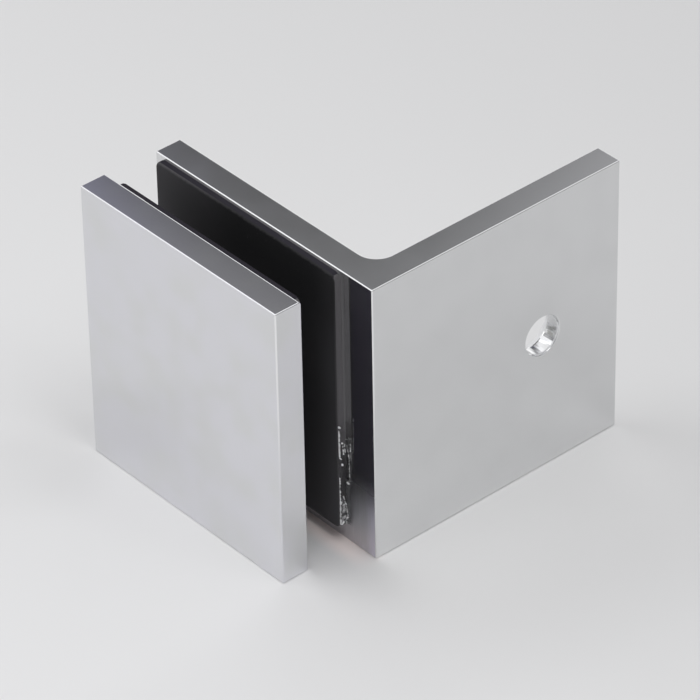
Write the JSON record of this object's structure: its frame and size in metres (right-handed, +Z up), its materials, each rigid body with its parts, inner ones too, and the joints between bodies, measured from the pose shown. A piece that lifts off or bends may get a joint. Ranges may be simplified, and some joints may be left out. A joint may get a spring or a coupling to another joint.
{
  "type": "glass-to-wall bracket",
  "caption": "Square right-angle bracket that clamps a glass panel's edge between rubber pads and screws to a wall; polished chrome, hidden clamp screws.",
  "frame": {"origin": "centre of the face that lies against the wall", "axes": "+X into the wall, -Y towards the clamp plate's visible face, +Z up; the glass panel lies in a plane of constant Y"},
  "size_m": [0.05, 0.0643, 0.05],
  "materials": {
    "angle_chrome": "mirror polished chrome plate",
    "plate_chrome": "mirror polished chrome plate",
    "rear_pad_rubber": "matt black with a faint sheen",
    "front_pad_rubber": "matt black with a faint sheen",
    "screw_steel": "plain stainless steel"
  },
  "bodies": {
    "angle": {"wall_angle": "angle_chrome", "rear_pad": "rear_pad_rubber"},
    "clamp": {"clamp_plate": "plate_chrome", "front_pad": "front_pad_rubber"},
    "upper_screw": {"upper_clamp_screw": "screw_steel"},
    "lower_screw": {"lower_clamp_screw": "screw_steel"}
  },
  "joints": [
    {"name": "clamp_slide", "type": "slide", "parent": "angle", "child": "clamp", "axis": [0, -1, 0], "range_m": [0, 0.004]},
    {"name": "upper_screw_turn", "type": "hinge", "parent": "angle", "child": "upper_screw", "pos_m": [-0.0275, -0.0202, 0.01], "axis": [0, 1, 0], "range_deg": [0, 1440.5]},
    {"name": "lower_screw_turn", "type": "hinge", "parent": "angle", "child": "lower_screw", "pos_m": [-0.0275, -0.0202, -0.01], "axis": [0, 1, 0], "range_deg": [0, 1440.5]}
  ],
  "couplings": [
    {"joint": "upper_screw_turn", "follows": "clamp_slide", "rad_per_m": 6283.2},
    {"joint": "lower_screw_turn", "follows": "clamp_slide", "rad_per_m": 6283.2}
  ]
}
